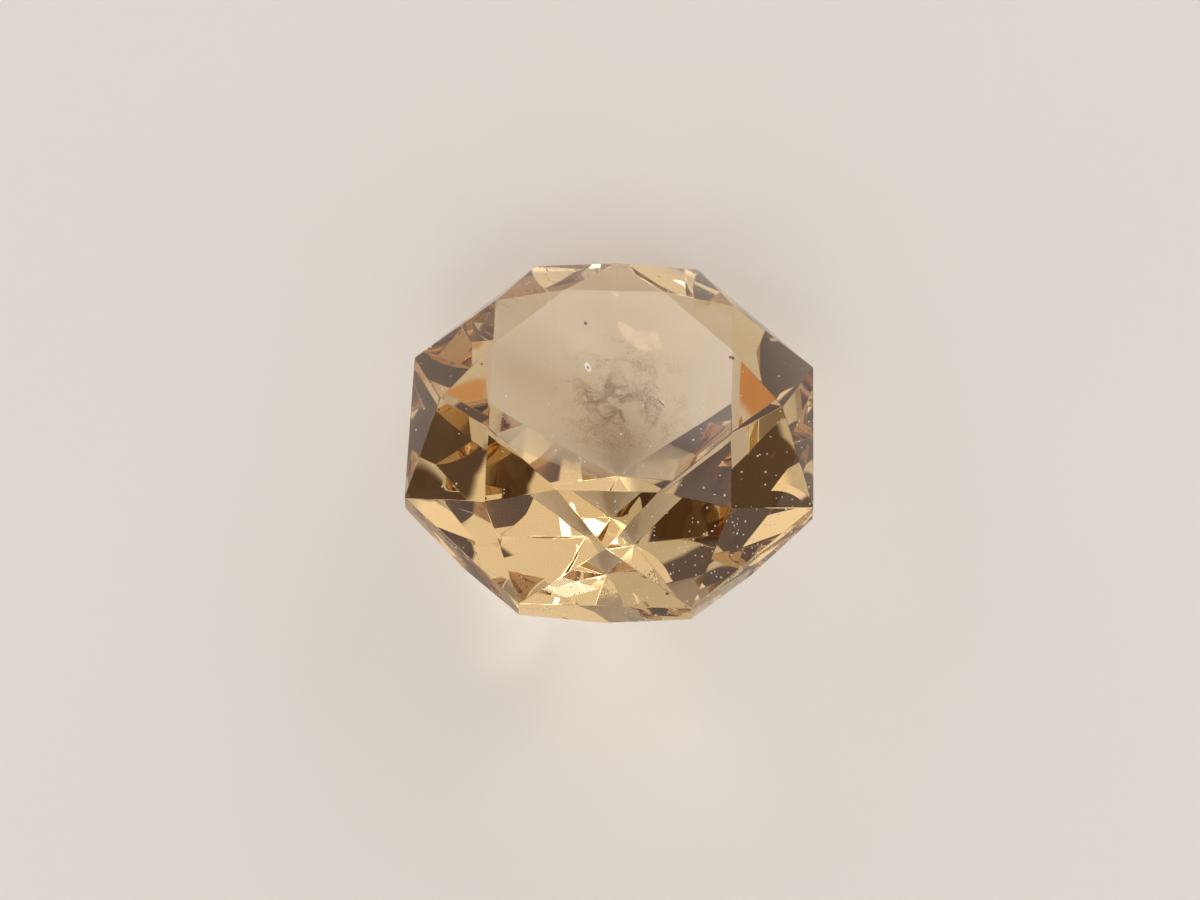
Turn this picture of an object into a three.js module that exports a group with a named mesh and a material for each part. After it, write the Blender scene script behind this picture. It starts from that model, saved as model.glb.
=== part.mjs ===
// A loose golden beryl, cut as an octagonal brilliant: one solid, in millimetres.
// The stone is described as a cutter would describe it, table up, as tiers of flat facets.
// Each facet is a plane, and the stone is the space that all the planes enclose.
// It is then laid down as it rests on a table top: on one main facet of its pavilion.

import * as THREE from "three";

// Driving dimensions. Heights are measured from the plane of the girdle's upper rim.
const widthAcrossFlats = 7.0;
const tableAcrossFlats = 4.11;
const crownHeight = 1.33;
const starTipRadius = 2.93;
const girdleThickness = 0.49;
const culetDepth = 3.2;
const pavilionMainAngle = 35.8;
const lowerGirdleAngle = 39.7;
const lowerGirdleTurn = 9.6;

const sides = 8;
const sideTurn = 360 / sides;
const cornerTurn = sideTurn / 2;

const radius = widthAcrossFlats / 2;
const tableRadius = tableAcrossFlats / 2;
const cornerStretch = 1 / Math.cos(THREE.MathUtils.degToRad(cornerTurn));

// A point at a distance from the stone's axis, in the direction of an azimuth in degrees.
function pointAround(distance, azimuth, height) {
  const turn = THREE.MathUtils.degToRad(azimuth);
  return new THREE.Vector3(distance * Math.cos(turn), distance * Math.sin(turn), height);
}

// A facet's plane. Its angle is measured from the girdle plane, and upward is +1 for the crown,
// -1 for the pavilion. The plane passes through the point, with its normal out of the stone.
function facetPlane(angle, azimuth, upward, point) {
  const tilt = THREE.MathUtils.degToRad(angle);
  const normal = pointAround(Math.sin(tilt), azimuth, upward * Math.cos(tilt));
  return new THREE.Plane().setFromNormalAndCoplanarPoint(normal, point);
}

function angleOf(rise, run) {
  return THREE.MathUtils.radToDeg(Math.atan2(rise, run));
}

// Crown: the table, eight kite-shaped mains over the girdle's corners, and over each side
// a small star facet next to the table and a steep triangle next to the girdle.
function crownPlanes() {
  const cornerRadius = radius * cornerStretch;
  const mainAngle = angleOf(crownHeight, cornerRadius - tableRadius * cornerStretch);
  const starTipHeight = (cornerRadius - starTipRadius / cornerStretch)
    * Math.tan(THREE.MathUtils.degToRad(mainAngle));
  const starAngle = angleOf(crownHeight - starTipHeight, starTipRadius - tableRadius);
  const triangleAngle = angleOf(starTipHeight, radius - starTipRadius);
  const planes = [facetPlane(0, 0, 1, new THREE.Vector3(0, 0, crownHeight))];
  for (let side = 0; side < sides; side += 1) {
    const azimuth = side * sideTurn;
    const corner = pointAround(cornerRadius, azimuth + cornerTurn, 0);
    planes.push(facetPlane(mainAngle, azimuth + cornerTurn, 1, corner));
    planes.push(facetPlane(starAngle, azimuth, 1, pointAround(tableRadius, azimuth, crownHeight)));
    planes.push(facetPlane(triangleAngle, azimuth, 1, pointAround(radius, azimuth, 0)));
  }
  return planes;
}

// Girdle: eight upright polished sides, with a level rim above.
function girdlePlanes() {
  const planes = [];
  for (let side = 0; side < sides; side += 1) {
    const azimuth = side * sideTurn;
    planes.push(facetPlane(90, azimuth, 1, pointAround(radius, azimuth, 0)));
  }
  return planes;
}

// Pavilion: eight mains that meet in the culet, and two slightly steeper lower girdle facets
// under each girdle side, turned a little to either side of its middle.
function pavilionPlanes() {
  const culet = new THREE.Vector3(0, 0, -culetDepth);
  const turnStretch = 1 / Math.cos(THREE.MathUtils.degToRad(lowerGirdleTurn));
  const planes = [];
  for (let side = 0; side < sides; side += 1) {
    const azimuth = side * sideTurn;
    planes.push(facetPlane(pavilionMainAngle, azimuth, -1, culet));
    for (const turned of [azimuth - lowerGirdleTurn, azimuth + lowerGirdleTurn]) {
      const rim = pointAround(radius * turnStretch, turned, -girdleThickness);
      planes.push(facetPlane(lowerGirdleAngle, turned, -1, rim));
    }
  }
  return planes;
}

// The part of a polygon that lies on the inner side of a plane.
function clipPolygon(polygon, plane) {
  const kept = [];
  polygon.forEach((start, index) => {
    const end = polygon[(index + 1) % polygon.length];
    const startHeight = plane.distanceToPoint(start);
    const endHeight = plane.distanceToPoint(end);
    if (startHeight <= 0) kept.push(start);
    if (startHeight * endHeight < 0) {
      kept.push(start.clone().lerp(end, startHeight / (startHeight - endHeight)));
    }
  });
  return kept;
}

// The outline of one facet: a large square in its plane, cut by every other plane,
// and counter-clockwise seen from outside.
function facetOutline(plane, planes) {
  const reach = 4 * radius;
  const turn = new THREE.Quaternion().setFromUnitVectors(new THREE.Vector3(0, 0, 1), plane.normal);
  const centre = plane.coplanarPoint(new THREE.Vector3());
  let outline = [[-1, -1], [1, -1], [1, 1], [-1, 1]].map(([across, along]) => (
    new THREE.Vector3(reach * across, reach * along, 0).applyQuaternion(turn).add(centre)
  ));
  for (const other of planes) {
    if (other !== plane) outline = clipPolygon(outline, other);
  }
  return outline;
}

// Facets that meet in a point are worked out one by one, so their corners are joined
// to one shared corner where they lie within the tolerance.
function sharedCorner(corners, point) {
  const tolerance = 1e-5;
  const known = corners.find((corner) => corner.distanceTo(point) < tolerance);
  if (known) return known;
  corners.push(point);
  return point;
}

// The closed surface of the space that the planes enclose, each facet as a fan of triangles.
function solidFromPlanes(planes) {
  const corners = [];
  const positions = [];
  for (const plane of planes) {
    const outline = facetOutline(plane, planes)
      .map((point) => sharedCorner(corners, point))
      .filter((corner, index, all) => corner !== all[(index + 1) % all.length]);
    for (let index = 1; index + 1 < outline.length; index += 1) {
      for (const corner of [outline[0], outline[index], outline[index + 1]]) {
        positions.push(corner.x, corner.y, corner.z);
      }
    }
  }
  const geometry = new THREE.BufferGeometry();
  geometry.setAttribute("position", new THREE.Float32BufferAttribute(positions, 3));
  geometry.computeVertexNormals();
  return geometry;
}

const beryl = new THREE.MeshStandardMaterial({ color: 0xc79a55, roughness: 0.05, metalness: 0 });
const stone = new THREE.Mesh(
  solidFromPlanes([...crownPlanes(), ...girdlePlanes(), ...pavilionPlanes()]),
  beryl,
);
stone.name = "beryl_gemstone";

// A cut stone can't balance on its culet. It lies on the pavilion main that faces +Y,
// with its table leaning back towards +Y, and the middle of its footprint is the origin.
stone.rotation.x = THREE.MathUtils.degToRad(-pavilionMainAngle);
stone.updateMatrixWorld(true);
const reached = new THREE.Box3().setFromObject(stone, true);
const middle = reached.getCenter(new THREE.Vector3());
stone.position.set(-middle.x, -middle.y, -reached.min.z);

const part = new THREE.Group();
part.add(stone);

export default part;
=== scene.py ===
import math

import bmesh
import bpy
from mathutils import Euler, Matrix, Vector


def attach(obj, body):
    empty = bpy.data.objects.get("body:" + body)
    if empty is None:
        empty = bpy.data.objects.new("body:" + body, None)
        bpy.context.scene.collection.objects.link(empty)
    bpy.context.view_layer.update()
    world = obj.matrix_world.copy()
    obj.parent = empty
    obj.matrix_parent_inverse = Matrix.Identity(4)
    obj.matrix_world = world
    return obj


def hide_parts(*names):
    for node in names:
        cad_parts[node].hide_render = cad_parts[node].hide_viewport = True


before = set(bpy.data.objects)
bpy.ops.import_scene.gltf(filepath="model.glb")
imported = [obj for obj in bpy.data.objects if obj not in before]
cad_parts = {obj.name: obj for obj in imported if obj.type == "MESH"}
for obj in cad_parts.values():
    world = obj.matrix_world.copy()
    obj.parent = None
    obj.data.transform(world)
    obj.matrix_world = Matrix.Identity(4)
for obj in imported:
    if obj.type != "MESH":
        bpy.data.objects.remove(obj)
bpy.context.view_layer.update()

# The cut stone: clear golden-brown beryl, ground to an octagonal brilliant and polished facet by facet.
# It is one solid. Polishing leaves every edge between two facets about a hundredth of a millimetre
# round, which shows as the fine bright lines where facets meet.
MILLIMETRE = 0.001
EDGE_ROUNDING = 0.012 * MILLIMETRE
COPLANAR = math.radians(0.5)
SMALLEST_FACET_TURN = math.radians(4)
BERYL_IOR = 1.575
BERYL_TINT = (0.74, 0.50, 0.02, 1)
BERYL_DENSITY = 160
CLEAR_FACE = (0.995, 0.99, 0.985, 1)
HAZY_FACE = (0.975, 0.965, 0.95, 1)
HAZE_SCALE = 900
POLISH_ROUGHNESS = 0.002
HAZE_ROUGHNESS = 0.006


class Signal:
    """One output of a node, so that sums are written as sums, such as 1 - haze * 0.2."""

    def __init__(self, graph, socket):
        self.graph = graph
        self.socket = socket

    def math(self, operation, first, second):
        return self.graph.add("ShaderNodeMath", {"operation": operation}, {0: first, 1: second})

    def __add__(self, other):
        return self.math("ADD", self, other)

    def __radd__(self, other):
        return self.math("ADD", other, self)

    def __sub__(self, other):
        return self.math("SUBTRACT", self, other)

    def __rsub__(self, other):
        return self.math("SUBTRACT", other, self)

    def __mul__(self, other):
        return self.math("MULTIPLY", self, other)

    def __rmul__(self, other):
        return self.math("MULTIPLY", other, self)

    def __gt__(self, other):
        return self.math("GREATER_THAN", self, other)

    def __abs__(self):
        return self.math("ABSOLUTE", self, 0.0)

    def clamped(self):
        return self.graph.add("ShaderNodeClamp", {}, {"Value": self})


class Graph:
    """A node tree that is put together node by node: a finish, the light, or a spread of grains."""

    def __init__(self, tree):
        self.tree = tree
        self.tree.nodes.clear()

    def add(self, kind, settings, sockets, output=0):
        node = self.tree.nodes.new(kind)
        for name, value in settings.items():
            setattr(node, name, value)
        for name, value in sockets.items():
            if isinstance(value, Signal):
                self.tree.links.new(value.socket, node.inputs[name])
            else:
                node.inputs[name].default_value = value
        return Signal(self, node.outputs[output]) if node.outputs else None

    def noise(self, place, scale, detail):
        return self.add("ShaderNodeTexNoise", {}, {"Vector": place, "Scale": scale, "Detail": detail})

    def mix(self, factor, first, second):
        """Two colours mixed; a Mix node's colour sockets are its inputs 6 and 7 and its output 2."""
        return self.add(
            "ShaderNodeMix", {"data_type": "RGBA"}, {"Factor": factor, 6: first, 7: second}, output=2,
        )


def new_material(name):
    material = bpy.data.materials.new(name)
    material.use_nodes = True
    return material, Graph(material.node_tree)


def polished_beryl():
    material, graph = new_material("golden_beryl_polish")
    place = graph.add("ShaderNodeTexCoord", {}, {}, output="Object")
    haze = graph.noise(place, HAZE_SCALE, 3)
    surface = graph.add("ShaderNodeBsdfPrincipled", {}, {
        "Base Color": graph.mix(haze, CLEAR_FACE, HAZY_FACE),
        "Roughness": POLISH_ROUGHNESS + haze * HAZE_ROUGHNESS,
        "IOR": BERYL_IOR,
        "Transmission Weight": 1.0,
    })
    volume = graph.add("ShaderNodeVolumeAbsorption", {}, {
        "Color": BERYL_TINT,
        "Density": BERYL_DENSITY,
    })
    graph.add("ShaderNodeOutputMaterial", {}, {"Surface": surface, "Volume": volume})
    return material


def link(name, mesh, material):
    piece = bpy.data.objects.new(name, mesh)
    bpy.context.scene.collection.objects.link(piece)
    mesh.materials.clear()
    mesh.materials.append(material)
    return piece


def facet_mesh(name):
    """The stone's own facets, each as one flat face, with shared corners."""
    same_corner = 0.0005 * MILLIMETRE
    mesh = bpy.data.meshes.new(name)
    shape = bmesh.new()
    shape.from_mesh(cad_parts["beryl_gemstone"].data)
    bmesh.ops.remove_doubles(shape, verts=shape.verts, dist=same_corner)
    bmesh.ops.dissolve_limit(shape, angle_limit=COPLANAR, verts=shape.verts, edges=shape.edges)
    shape.to_mesh(mesh)
    shape.free()
    return mesh


def dressed_stone():
    mesh = facet_mesh("cut_stone")
    mesh.shade_smooth()
    piece = link("cut_stone", mesh, polished_beryl())
    rounding = piece.modifiers.new("polished edges", "BEVEL")
    rounding.width = EDGE_ROUNDING
    rounding.segments = 2
    rounding.limit_method = "ANGLE"
    rounding.angle_limit = SMALLEST_FACET_TURN
    rounding.harden_normals = True
    return piece


stone = dressed_stone()
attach(stone, "root")
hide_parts("beryl_gemstone")

# The veil: a thin brown cloud of mineral specks that the crystal grew around. It hangs in the middle
# of the stone, under the table, as a web of fine threads that is densest at its centre.
VEIL_CENTRE = (0.22 * MILLIMETRE, 0.35 * MILLIMETRE, 2.3 * MILLIMETRE)
VEIL_REACH = (0.95 * MILLIMETRE, 1.0 * MILLIMETRE, 0.2 * MILLIMETRE)
VEIL_SWAY = 0.35 * MILLIMETRE
VEIL_THREAD = 0.05
VEIL_CANDIDATES = 120000
SPECK_RADIUS = 0.0048 * MILLIMETRE
DARK_BROWN = (0.24, 0.10, 0.012, 1)
LIGHT_BROWN = (0.46, 0.24, 0.04, 1)
BROWN_SCALE = 2600
WAVE_SCALE = 700
WEB_SCALE = 1900


def mineral_brown():
    material, graph = new_material("veil_brown")
    place = graph.add("ShaderNodeTexCoord", {}, {}, output="Object")
    shade = graph.noise(place, BROWN_SCALE, 2)
    surface = graph.add("ShaderNodeBsdfPrincipled", {}, {
        "Base Color": graph.mix(shade, DARK_BROWN, LIGHT_BROWN),
        "Roughness": 0.8,
    })
    graph.add("ShaderNodeOutputMaterial", {}, {"Surface": surface})
    return material


def grain_tree(name, sizes):
    """An empty tree for grains, with one named input for each size and one for the grains' material."""
    group = bpy.data.node_groups.new(name, "GeometryNodeTree")
    inputs = {"Geometry": "NodeSocketGeometry", **sizes, "Material": "NodeSocketMaterial"}
    for title, kind in inputs.items():
        group.interface.new_socket(title, in_out="INPUT", socket_type=kind)
    group.interface.new_socket("Geometry", in_out="OUTPUT", socket_type="NodeSocketGeometry")
    graph = Graph(group)
    return group, graph, {title: graph.add("NodeGroupInput", {}, {}, output=title) for title in inputs}


def random_vector(graph, low, high, seed):
    sockets = {"Min": (low, low, low), "Max": (high, high, high), "Seed": seed}
    return graph.add("FunctionNodeRandomValue", {"data_type": "FLOAT_VECTOR"}, sockets)


def vector_math(graph, operation, first, second):
    return graph.add("ShaderNodeVectorMath", {"operation": operation}, {0: first, 1: second})


def place_grains(graph, given, points, grain, smallest, largest):
    """A turned and scaled copy of the grain at every point, as the tree's real mesh."""
    copies = graph.add("GeometryNodeInstanceOnPoints", {}, {
        "Points": points,
        "Instance": grain,
        "Rotation": random_vector(graph, 0, math.tau, 21),
        "Scale": random_vector(graph, smallest, largest, 22),
    })
    solid = graph.add("GeometryNodeRealizeInstances", {}, {"Geometry": copies})
    finished = graph.add("GeometryNodeSetMaterial", {}, {"Geometry": solid, "Material": given["Material"]})
    graph.add("NodeGroupOutput", {}, {"Geometry": finished})


def veil_tree():
    """Random places in a flat cloud, kept only where a noise is near its middle value: a web of threads."""
    group, graph, given = grain_tree("veil_web", {
        "Candidates": "NodeSocketInt",
        "Centre": "NodeSocketVector",
        "Reach": "NodeSocketVector",
        "Sway": "NodeSocketFloat",
        "Thread": "NodeSocketFloat",
        "Speck Radius": "NodeSocketFloat",
    })
    first, second, third = [random_vector(graph, -0.5, 0.5, seed) for seed in (11, 12, 13)]
    scatter = vector_math(graph, "ADD", vector_math(graph, "ADD", first, second), third)
    spread = vector_math(graph, "MULTIPLY", scatter, given["Reach"])
    flat = vector_math(graph, "ADD", spread, given["Centre"])
    wave = graph.add(
        "ShaderNodeTexNoise", {}, {"Vector": flat, "Scale": WAVE_SCALE, "Detail": 1}, output="Color",
    )
    lift = graph.add("ShaderNodeVectorMath", {"operation": "SCALE"}, {
        0: vector_math(graph, "SUBTRACT", wave, (0.5, 0.5, 0.5)),
        "Scale": given["Sway"],
    })
    place = vector_math(graph, "ADD", flat, lift)
    points = graph.add("GeometryNodePoints", {}, {"Count": given["Candidates"], "Position": place})
    here = graph.add("GeometryNodeInputPosition", {}, {})
    web = graph.noise(here, WEB_SCALE, 5)
    fringe = graph.add(
        "FunctionNodeRandomValue", {"data_type": "FLOAT"}, {2: 0.0, 3: 1.0, "Seed": 14}, output=1,
    )
    kept = graph.add("GeometryNodeDeleteGeometry", {"domain": "POINT"}, {
        "Geometry": points,
        "Selection": abs(web - 0.5) > given["Thread"] * fringe * fringe,
    })
    speck = graph.add("GeometryNodeMeshUVSphere", {}, {
        "Segments": 4,
        "Rings": 2,
        "Radius": given["Speck Radius"],
    })
    place_grains(graph, given, kept, speck, 0.5, 1.5)
    return group


def grown(name, mesh, material, group, sizes):
    """The tree's result on this mesh, as a plain mesh of its own."""
    piece = link(name, mesh, material)
    modifier = piece.modifiers.new(name, "NODES")
    modifier.node_group = group
    values = {**sizes, "Material": material}
    for socket in group.interface.items_tree:
        if socket.in_out == "INPUT" and socket.name in values:
            modifier[socket.identifier] = values[socket.name]
    shaped = piece.evaluated_get(bpy.context.evaluated_depsgraph_get())
    piece.data = bpy.data.meshes.new_from_object(shaped)
    piece.modifiers.clear()
    return piece


veil = grown("veil", bpy.data.meshes.new("veil_start"), mineral_brown(), veil_tree(), {
    "Candidates": VEIL_CANDIDATES,
    "Centre": VEIL_CENTRE,
    "Reach": VEIL_REACH,
    "Sway": VEIL_SWAY,
    "Thread": VEIL_THREAD,
    "Speck Radius": SPECK_RADIUS,
})
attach(veil, "root")

# Single inclusions near the veil: a small healed bubble, a dark needle and two dark crystals, which were
# sealed in as the crystal grew. The bubble's white rim is a painted reflection and the needle's pale side
# is a painted highlight; both glow a little. Places and radii are in millimetres, and turns in degrees.
BUBBLE_PLACE = (-0.415, 1.18, 3.12)
BUBBLE_RIM_RADII = (0.045, 0.10, 0.02)
BUBBLE_CORE_PLACE = (-0.415, 1.18, 3.145)
BUBBLE_CORE_RADII = (0.016, 0.036, 0.014)
BUBBLE_TURN = (0, 0, 22)
NEEDLE_PLACE = (0.85, 0.61, 3.52)
NEEDLE_RADII = (0.012, 0.085, 0.012)
NEEDLE_GLINT_PLACE = (0.875, 0.63, 3.52)
NEEDLE_GLINT_RADII = (0.007, 0.07, 0.007)
NEEDLE_TURN = (0, 0, 40)
DARK_CRYSTAL_PLACES = [(2.02, 1.42, 3.05), (-0.48, 1.95, 2.7)]
DARK_CRYSTAL_RADII = (0.03, 0.04, 0.025)
DARK_CRYSTAL_TURN = (20, 10, 35)
DARK_MINERAL = (0.10, 0.055, 0.03, 1)
# The white of the painted reflection on the bubble's rim and of the painted highlight along the needle.
PAINTED_HIGHLIGHT_WHITE = (0.92, 0.90, 0.86, 1)
MOTTLE_SCALE = 9000
MOTTLE_DARKER = 0.7


def plain_speck(name, shade, rough, glow=0.0):
    material, graph = new_material(name)
    place = graph.add("ShaderNodeTexCoord", {}, {}, output="Object")
    darker = [channel * MOTTLE_DARKER for channel in shade[:3]] + [1]
    surface = graph.add("ShaderNodeBsdfPrincipled", {}, {
        "Base Color": graph.mix(graph.noise(place, MOTTLE_SCALE, 2), darker, shade),
        "Roughness": rough,
        "Emission Color": shade,
        "Emission Strength": glow,
    })
    graph.add("ShaderNodeOutputMaterial", {}, {"Surface": surface})
    return material


def drop(shape, place, radii, turn):
    """One rounded grain: its middle, its three radii and its turn."""
    moved = Matrix.Translation(Vector(place) * MILLIMETRE)
    turned = Euler([math.radians(angle) for angle in turn]).to_matrix().to_4x4()
    sized = Matrix.Diagonal((*radii, 1)) @ Matrix.Scale(MILLIMETRE, 4)
    bmesh.ops.create_icosphere(shape, subdivisions=2, radius=1, matrix=moved @ turned @ sized)


def inclusion(name, material, drops):
    shape = bmesh.new()
    for place, radii, turn in drops:
        drop(shape, place, radii, turn)
    mesh = bpy.data.meshes.new(name)
    shape.to_mesh(mesh)
    shape.free()
    piece = link(name, mesh, material)
    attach(piece, "root")


dark_mineral = plain_speck("dark_mineral", DARK_MINERAL, 0.6)
# A pale colour that glows a little though it is no lamp: the painted reflection on the bubble's rim and the
# painted highlight along the needle's side.
painted_highlight_glow = plain_speck("painted_highlight_glow", PAINTED_HIGHLIGHT_WHITE, 0.4, glow=0.35)
inclusion("bubble_rim_painted_reflection", painted_highlight_glow, [(BUBBLE_PLACE, BUBBLE_RIM_RADII, BUBBLE_TURN)])
inclusion("bubble_core", dark_mineral, [(BUBBLE_CORE_PLACE, BUBBLE_CORE_RADII, BUBBLE_TURN)])
inclusion("needle", dark_mineral, [(NEEDLE_PLACE, NEEDLE_RADII, NEEDLE_TURN)])
inclusion("needle_glint", painted_highlight_glow, [(NEEDLE_GLINT_PLACE, NEEDLE_GLINT_RADII, NEEDLE_TURN)])
inclusion("dark_crystals", dark_mineral, [
    (place, DARK_CRYSTAL_RADII, DARK_CRYSTAL_TURN) for place in DARK_CRYSTAL_PLACES
])

# The dust: loose white specks that have settled on the polished facets. They are thickest on the lower
# and right facets of the crown, and lie in drifts.
DUST_DENSITY = 110 / MILLIMETRE ** 2
DUST_RADIUS = 0.016 * MILLIMETRE
DUST_EVERYWHERE = 0.03
LOWER_START = -0.35
LOWER_RISE = 0.75 / MILLIMETRE
RIGHT_START = 0.22
RIGHT_RISE = 0.45 / MILLIMETRE
DRIFT_SCALE = 1300
BETWEEN_DRIFTS = 0.25


def dust_tree():
    """Grains on the facets that face up, in loose drifts, thickest towards -Y and +X."""
    group, graph, given = grain_tree("dust_drifts", {
        "Density": "NodeSocketFloat",
        "Grain Radius": "NodeSocketFloat",
    })
    here = graph.add("GeometryNodeInputPosition", {}, {})
    facing = graph.add("GeometryNodeInputNormal", {}, {})
    across, along = [graph.add("ShaderNodeSeparateXYZ", {}, {"Vector": here}, output=axis) for axis in "XY"]
    level = graph.add("ShaderNodeSeparateXYZ", {}, {"Vector": facing}, output="Z")
    lower = (LOWER_START - along * LOWER_RISE).clamped()
    rightward = (RIGHT_START + across * RIGHT_RISE).clamped()
    drift = (graph.noise(here, DRIFT_SCALE, 2) * 5 - 2.0).clamped()
    points = graph.add("GeometryNodeDistributePointsOnFaces", {}, {
        "Mesh": given["Geometry"],
        "Selection": level > 0.1,
        "Density": given["Density"] * (DUST_EVERYWHERE + lower * rightward) * (BETWEEN_DRIFTS + drift),
        "Seed": 5,
    })
    grain = graph.add("GeometryNodeMeshIcoSphere", {}, {
        "Radius": given["Grain Radius"],
        "Subdivisions": 1,
    })
    place_grains(graph, given, points, grain, 0.3, 1.5)
    return group


dust_white = plain_speck("dust_white", (0.95, 0.94, 0.92, 1), 0.9)
dust = grown("dust", facet_mesh("dust_start"), dust_white, dust_tree(), {
    "Density": DUST_DENSITY,
    "Grain Radius": DUST_RADIUS,
})
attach(dust, "root")

# The floor: a plain pale surface that the loose stone lies on. It lies a hair below the stone's lowest
# facet, so that the two faces don't share one plane, and it glows a little, as light through it would.
FLOOR_HALF = 0.6
FLOOR_LEVEL = -0.01 * MILLIMETRE


def pale_floor():
    material, graph = new_material("pale_floor")
    surface = graph.add("ShaderNodeBsdfPrincipled", {}, {
        "Base Color": (0.80, 0.78, 0.76, 1),
        "Roughness": 0.9,
        "Emission Color": (1, 0.95, 0.90, 1),
        "Emission Strength": 0.14,
    })
    graph.add("ShaderNodeOutputMaterial", {}, {"Surface": surface})
    return material


floor_mesh = bpy.data.meshes.new("floor")
floor_mesh.from_pydata(
    [(x * FLOOR_HALF, y * FLOOR_HALF, FLOOR_LEVEL) for x, y in [(-1, -1), (1, -1), (1, 1), (-1, 1)]],
    [],
    [(0, 1, 2, 3)],
)
floor = link("floor", floor_mesh, pale_floor())

# The light: a pale tent with brighter walls, and a bright window low at the back that whitens the table.
# Dark cards high up and low at the sides give the dark facets, gold cards the orange glow, and small
# lamps the flashes. A card is round: its azimuth, elevation, radius and soft edge are in degrees.
TENT = (0.80, 0.775, 0.745, 1)
BROWN = (0.09, 0.052, 0.029, 1)
SHADE = (0.30, 0.24, 0.19, 1)
WHITE = (1.35, 1.28, 1.18, 1)
CARDS = [
    ("bright back wall", 62, 36, 30, 2, (1.15, 1.10, 1.04, 1)),
    ("high right card", 20, 64, 20, 2, BROWN),
    ("high left card", 144, 57, 23, 2, BROWN),
    ("overhead card", 90, 78, 13, 2, BROWN),
    ("low right card", 14, 4, 20, 2, SHADE),
    ("low left card", 167, 4, 20, 2, SHADE),
    ("right wall", 27, 37, 11, 2, WHITE),
    ("left wall", 160, 36, 10, 2, WHITE),
    ("gold left card", 186, 25, 9, 2, (0.70, 0.33, 0.06, 1)),
    ("gold right card", 348, 34, 8, 2, (0.75, 0.42, 0.14, 1)),
    ("low back window", 94, -10, 31, 8, (2.9, 2.9, 2.9, 1)),
]


def heading(azimuth, elevation):
    """The direction from the stone at these angles in degrees, azimuth 0 being +X and 90 being +Y."""
    around, above = math.radians(azimuth), math.radians(elevation)
    return Vector((math.cos(around) * math.cos(above), math.sin(around) * math.cos(above), math.sin(above)))


def light_tent():
    world = bpy.data.worlds.new("light_tent")
    world.use_nodes = True
    tent = Graph(world.node_tree)
    place = tent.add("ShaderNodeTexCoord", {}, {}, output="Generated")
    colour = TENT
    for _, azimuth, elevation, reach, edge, card in CARDS:
        nearness = tent.add(
            "ShaderNodeVectorMath", {"operation": "DOT_PRODUCT"},
            {0: place, 1: heading(azimuth, elevation)}, output="Value",
        )
        inside = tent.add("ShaderNodeMapRange", {"interpolation_type": "SMOOTHSTEP"}, {
            "Value": nearness,
            "From Min": math.cos(math.radians(reach + edge / 2)),
            "From Max": math.cos(math.radians(reach - edge / 2)),
        })
        colour = tent.mix(inside, colour, card)
    glow = tent.add("ShaderNodeBackground", {}, {"Color": colour})
    tent.add("ShaderNodeOutputWorld", {}, {"Surface": glow})
    return world


def soft_lamp(name, azimuth, elevation, width, height, strength, colour):
    """A rectangular lamp half a metre away; its width and height are angles in degrees."""
    reach = 0.5
    place = heading(azimuth, elevation) * reach
    lamp = bpy.data.lights.new(name, "AREA")
    lamp.shape = "RECTANGLE"
    lamp.size = 2 * reach * math.tan(math.radians(width / 2))
    lamp.size_y = 2 * reach * math.tan(math.radians(height / 2))
    lamp.energy = strength * lamp.size * lamp.size_y * math.pi
    lamp.color = colour
    holder = bpy.data.objects.new(name, lamp)
    bpy.context.scene.collection.objects.link(holder)
    holder.location = place
    holder.rotation_euler = (-place).to_track_quat("-Z", "Y").to_euler()


bpy.context.scene.world = light_tent()
soft_lamp("front_lamp", 256, 50, 10, 5, 5, (1, 0.97, 0.86))
soft_lamp("low_front_lamp", 263.7, 38.9, 6, 3, 8, (1, 0.96, 0.72))
soft_lamp("back_lamp", 62, 28, 9, 6, 6, (1, 1, 0.97))
soft_lamp("high_back_lamp", 60, 38, 7, 4, 5, (1, 1, 0.97))

# The camera: the photograph's own view, looking down on the laid-down stone, so that its table is seen
# at 33 degrees from face on. Its place is worked out for a stone that stands table up, from the middle
# of the girdle and in millimetres, and is then laid down with the stone.
VIEW_ELEVATION = math.radians(57.09)
VIEW_AZIMUTH = math.radians(2.068)
VIEW_ROLL = math.radians(-0.2985)
VIEW_DISTANCE = 61.48
VIEW_OFFSET = (-0.197, -0.316)
REST_TILT = math.radians(-35.8)
GIRDLE_CENTRE = Vector((0, 0.1294, 2.5954))
FOCAL_LENGTH = 106.46

back = Vector((
    math.sin(VIEW_AZIMUTH) * math.cos(VIEW_ELEVATION),
    -math.cos(VIEW_AZIMUTH) * math.cos(VIEW_ELEVATION),
    math.sin(VIEW_ELEVATION),
))
right = Vector((math.cos(VIEW_AZIMUTH), math.sin(VIEW_AZIMUTH), 0))
up = back.cross(right)
eye = back * VIEW_DISTANCE + right * VIEW_OFFSET[0] + up * VIEW_OFFSET[1]
rolled_right = right * math.cos(VIEW_ROLL) + up * math.sin(VIEW_ROLL)
rolled_up = up * math.cos(VIEW_ROLL) - right * math.sin(VIEW_ROLL)
laid_down = Matrix.Rotation(REST_TILT, 3, "X")
turn = laid_down @ Matrix((rolled_right, rolled_up, back)).transposed()
lens = bpy.data.cameras.new("camera")
lens.lens = FOCAL_LENGTH
lens.sensor_width = 36
lens.clip_start = 0.001
lens.clip_end = 10
camera = bpy.data.objects.new("camera", lens)
bpy.context.scene.collection.objects.link(camera)
camera.matrix_world = Matrix.Translation((laid_down @ eye + GIRDLE_CENTRE) * MILLIMETRE) @ turn.to_4x4()
bpy.context.scene.camera = camera

cycles = bpy.context.scene.cycles
cycles.max_bounces = 18
cycles.transmission_bounces = 18
cycles.glossy_bounces = 16
cycles.diffuse_bounces = 4
cycles.transparent_max_bounces = 16
cycles.caustics_refractive = True
cycles.caustics_reflective = True
cycles.blur_glossy = 0.0
bpy.context.scene.view_settings.view_transform = "Standard"
